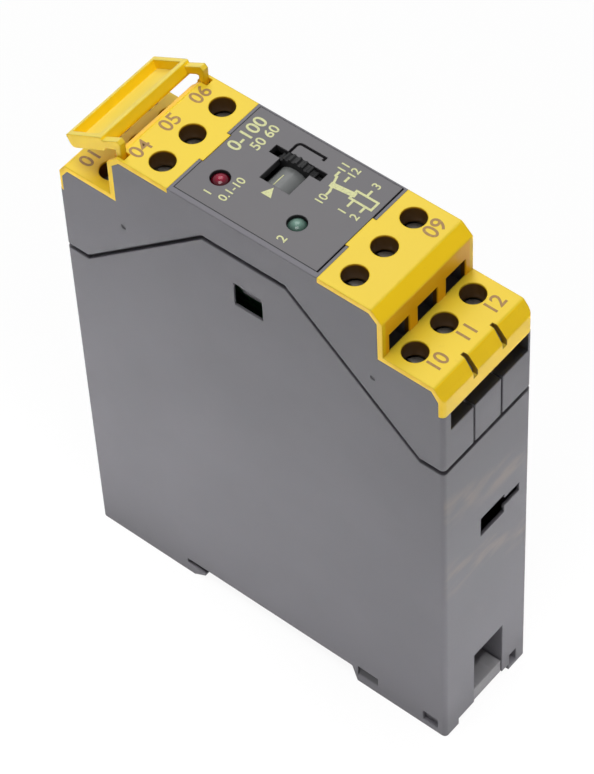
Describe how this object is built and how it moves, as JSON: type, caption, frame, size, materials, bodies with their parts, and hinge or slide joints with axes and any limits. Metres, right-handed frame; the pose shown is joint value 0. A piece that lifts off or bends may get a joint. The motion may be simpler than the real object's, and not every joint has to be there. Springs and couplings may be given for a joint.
{
  "type": "din rail timer relay",
  "caption": "Slim rail-mounted electronic relay module in a gray case with yellow stepped terminal covers, a marker flap, a setting wheel and indicator lamps.",
  "frame": {"origin": "centre of the case's footprint on the plane of its two feet, on the rail side", "axes": "+Z from the rail side to the front with the setting wheel, +X along the length towards the rail latch, +Y across the module width"},
  "size_m": [0.078, 0.0226, 0.1078],
  "materials": {
    "housing_gray": "fine moulded grain, satin",
    "plate_gray": "smooth, satin",
    "cover_yellow": "smooth moulded, satin",
    "flap_yellow": "smooth moulded",
    "latch_gray": "smooth, satin",
    "spring_steel": "bright",
    "wheel_black": "satin",
    "drum_gray": "satin",
    "component_black": "satin",
    "lamp_red": "clear moulded",
    "lamp_green": "clear moulded",
    "board_green": "lacquered",
    "can_aluminium": "satin",
    "clamp_brass": "plated",
    "screw_steel": "zinc plated"
  },
  "bodies": {
    "case": {"terminal_clamp_left_lower_1": "clamp_brass", "terminal_clamp_left_lower_2": "clamp_brass", "terminal_clamp_left_lower_3": "clamp_brass", "terminal_clamp_left_upper_1": "clamp_brass", "terminal_clamp_left_upper_2": "clamp_brass", "terminal_clamp_left_upper_3": "clamp_brass", "terminal_clamp_right_lower_1": "clamp_brass", "terminal_clamp_right_lower_2": "clamp_brass", "terminal_clamp_right_lower_3": "clamp_brass", "terminal_clamp_right_upper_1": "clamp_brass", "terminal_clamp_right_upper_2": "clamp_brass", "terminal_clamp_right_upper_3": "clamp_brass", "base_housing": "housing_gray", "upper_housing": "housing_gray", "front_plate": "plate_gray", "terminal_cover_left": "cover_yellow", "terminal_cover_right": "cover_yellow", "main_board": "board_green", "potentiometer": "component_black", "red_led": "lamp_red", "green_led": "lamp_green", "switching_relay": "component_black", "supply_transformer": "component_black", "smoothing_capacitor": "can_aluminium", "control_chip": "component_black", "latch_spring": "spring_steel"},
    "flap": {"marker_flap": "flap_yellow"},
    "latch": {"rail_latch": "latch_gray"},
    "wheel": {"setting_wheel": "wheel_black", "index_drum": "drum_gray"},
    "guard_left_upper_1": {"wire_guard_left_upper_1": "screw_steel"},
    "screw_left_upper_1": {"terminal_screw_left_upper_1": "screw_steel"},
    "guard_left_upper_2": {"wire_guard_left_upper_2": "screw_steel"},
    "screw_left_upper_2": {"terminal_screw_left_upper_2": "screw_steel"},
    "guard_left_upper_3": {"wire_guard_left_upper_3": "screw_steel"},
    "screw_left_upper_3": {"terminal_screw_left_upper_3": "screw_steel"},
    "guard_left_lower_1": {"wire_guard_left_lower_1": "screw_steel"},
    "screw_left_lower_1": {"terminal_screw_left_lower_1": "screw_steel"},
    "guard_left_lower_2": {"wire_guard_left_lower_2": "screw_steel"},
    "screw_left_lower_2": {"terminal_screw_left_lower_2": "screw_steel"},
    "guard_left_lower_3": {"wire_guard_left_lower_3": "screw_steel"},
    "screw_left_lower_3": {"terminal_screw_left_lower_3": "screw_steel"},
    "guard_right_upper_1": {"wire_guard_right_upper_1": "screw_steel"},
    "screw_right_upper_1": {"terminal_screw_right_upper_1": "screw_steel"},
    "guard_right_upper_2": {"wire_guard_right_upper_2": "screw_steel"},
    "screw_right_upper_2": {"terminal_screw_right_upper_2": "screw_steel"},
    "guard_right_upper_3": {"wire_guard_right_upper_3": "screw_steel"},
    "screw_right_upper_3": {"terminal_screw_right_upper_3": "screw_steel"},
    "guard_right_lower_1": {"wire_guard_right_lower_1": "screw_steel"},
    "screw_right_lower_1": {"terminal_screw_right_lower_1": "screw_steel"},
    "guard_right_lower_2": {"wire_guard_right_lower_2": "screw_steel"},
    "screw_right_lower_2": {"terminal_screw_right_lower_2": "screw_steel"},
    "guard_right_lower_3": {"wire_guard_right_lower_3": "screw_steel"},
    "screw_right_lower_3": {"terminal_screw_right_lower_3": "screw_steel"}
  },
  "joints": [
    {"name": "flap_swing", "type": "hinge", "parent": "case", "child": "flap", "pos_m": [-0.0252, 0, 0.1038], "axis": [0, 1, 0], "range_deg": [-30, 30]},
    {"name": "latch_slide", "type": "slide", "parent": "case", "child": "latch", "axis": [1, 0, 0], "range_m": [0, 0.0032], "stiffness_N_per_m": 1500, "springref_m": -0.002, "deforming": ["latch_spring"]},
    {"name": "wheel_turn", "type": "hinge", "parent": "case", "child": "wheel", "pos_m": [-0.00203, 0.0052, 0.1001], "axis": [0, 1, 0], "range_deg": [-135, 135]},
    {"name": "guard_lift_left_upper_1", "type": "slide", "parent": "case", "child": "guard_left_upper_1", "axis": [0, 0, 1], "range_m": [0, 0.0024]},
    {"name": "screw_turn_left_upper_1", "type": "hinge", "parent": "guard_left_upper_1", "child": "screw_left_upper_1", "pos_m": [-0.0191, -0.00723, 0.1], "axis": [0, 0, 1], "range_deg": [0, 1735]},
    {"name": "guard_lift_left_upper_2", "type": "slide", "parent": "case", "child": "guard_left_upper_2", "axis": [0, 0, 1], "range_m": [0, 0.0024]},
    {"name": "screw_turn_left_upper_2", "type": "hinge", "parent": "guard_left_upper_2", "child": "screw_left_upper_2", "pos_m": [-0.0191, 0, 0.1], "axis": [0, 0, 1], "range_deg": [0, 1735]},
    {"name": "guard_lift_left_upper_3", "type": "slide", "parent": "case", "child": "guard_left_upper_3", "axis": [0, 0, 1], "range_m": [0, 0.0024]},
    {"name": "screw_turn_left_upper_3", "type": "hinge", "parent": "guard_left_upper_3", "child": "screw_left_upper_3", "pos_m": [-0.0191, 0.00723, 0.1], "axis": [0, 0, 1], "range_deg": [0, 1735]},
    {"name": "guard_lift_left_lower_1", "type": "slide", "parent": "case", "child": "guard_left_lower_1", "axis": [0, 0, 1], "range_m": [0, 0.0024]},
    {"name": "screw_turn_left_lower_1", "type": "hinge", "parent": "guard_left_lower_1", "child": "screw_left_lower_1", "pos_m": [-0.0305, -0.00723, 0.09], "axis": [0, 0, 1], "range_deg": [0, 1735]},
    {"name": "guard_lift_left_lower_2", "type": "slide", "parent": "case", "child": "guard_left_lower_2", "axis": [0, 0, 1], "range_m": [0, 0.0024]},
    {"name": "screw_turn_left_lower_2", "type": "hinge", "parent": "guard_left_lower_2", "child": "screw_left_lower_2", "pos_m": [-0.0305, 0, 0.09], "axis": [0, 0, 1], "range_deg": [0, 1735]},
    {"name": "guard_lift_left_lower_3", "type": "slide", "parent": "case", "child": "guard_left_lower_3", "axis": [0, 0, 1], "range_m": [0, 0.0024]},
    {"name": "screw_turn_left_lower_3", "type": "hinge", "parent": "guard_left_lower_3", "child": "screw_left_lower_3", "pos_m": [-0.0305, 0.00723, 0.09], "axis": [0, 0, 1], "range_deg": [0, 1735]},
    {"name": "guard_lift_right_upper_1", "type": "slide", "parent": "case", "child": "guard_right_upper_1", "axis": [0, 0, 1], "range_m": [0, 0.0024]},
    {"name": "screw_turn_right_upper_1", "type": "hinge", "parent": "guard_right_upper_1", "child": "screw_right_upper_1", "pos_m": [0.0191, -0.00723, 0.1], "axis": [0, 0, 1], "range_deg": [0, 1735]},
    {"name": "guard_lift_right_upper_2", "type": "slide", "parent": "case", "child": "guard_right_upper_2", "axis": [0, 0, 1], "range_m": [0, 0.0024]},
    {"name": "screw_turn_right_upper_2", "type": "hinge", "parent": "guard_right_upper_2", "child": "screw_right_upper_2", "pos_m": [0.0191, 0, 0.1], "axis": [0, 0, 1], "range_deg": [0, 1735]},
    {"name": "guard_lift_right_upper_3", "type": "slide", "parent": "case", "child": "guard_right_upper_3", "axis": [0, 0, 1], "range_m": [0, 0.0024]},
    {"name": "screw_turn_right_upper_3", "type": "hinge", "parent": "guard_right_upper_3", "child": "screw_right_upper_3", "pos_m": [0.0191, 0.00723, 0.1], "axis": [0, 0, 1], "range_deg": [0, 1735]},
    {"name": "guard_lift_right_lower_1", "type": "slide", "parent": "case", "child": "guard_right_lower_1", "axis": [0, 0, 1], "range_m": [0, 0.0024]},
    {"name": "screw_turn_right_lower_1", "type": "hinge", "parent": "guard_right_lower_1", "child": "screw_right_lower_1", "pos_m": [0.0305, -0.00723, 0.09], "axis": [0, 0, 1], "range_deg": [0, 1735]},
    {"name": "guard_lift_right_lower_2", "type": "slide", "parent": "case", "child": "guard_right_lower_2", "axis": [0, 0, 1], "range_m": [0, 0.0024]},
    {"name": "screw_turn_right_lower_2", "type": "hinge", "parent": "guard_right_lower_2", "child": "screw_right_lower_2", "pos_m": [0.0305, 0, 0.09], "axis": [0, 0, 1], "range_deg": [0, 1735]},
    {"name": "guard_lift_right_lower_3", "type": "slide", "parent": "case", "child": "guard_right_lower_3", "axis": [0, 0, 1], "range_m": [0, 0.0024]},
    {"name": "screw_turn_right_lower_3", "type": "hinge", "parent": "guard_right_lower_3", "child": "screw_right_lower_3", "pos_m": [0.0305, 0.00723, 0.09], "axis": [0, 0, 1], "range_deg": [0, 1735]}
  ],
  "couplings": [
    {"joint": "screw_turn_left_upper_1", "follows": "guard_lift_left_upper_1", "rad_per_m": 12566},
    {"joint": "screw_turn_left_upper_2", "follows": "guard_lift_left_upper_2", "rad_per_m": 12566},
    {"joint": "screw_turn_left_upper_3", "follows": "guard_lift_left_upper_3", "rad_per_m": 12566},
    {"joint": "screw_turn_left_lower_1", "follows": "guard_lift_left_lower_1", "rad_per_m": 12566},
    {"joint": "screw_turn_left_lower_2", "follows": "guard_lift_left_lower_2", "rad_per_m": 12566},
    {"joint": "screw_turn_left_lower_3", "follows": "guard_lift_left_lower_3", "rad_per_m": 12566},
    {"joint": "screw_turn_right_upper_1", "follows": "guard_lift_right_upper_1", "rad_per_m": 12566},
    {"joint": "screw_turn_right_upper_2", "follows": "guard_lift_right_upper_2", "rad_per_m": 12566},
    {"joint": "screw_turn_right_upper_3", "follows": "guard_lift_right_upper_3", "rad_per_m": 12566},
    {"joint": "screw_turn_right_lower_1", "follows": "guard_lift_right_lower_1", "rad_per_m": 12566},
    {"joint": "screw_turn_right_lower_2", "follows": "guard_lift_right_lower_2", "rad_per_m": 12566},
    {"joint": "screw_turn_right_lower_3", "follows": "guard_lift_right_lower_3", "rad_per_m": 12566}
  ]
}
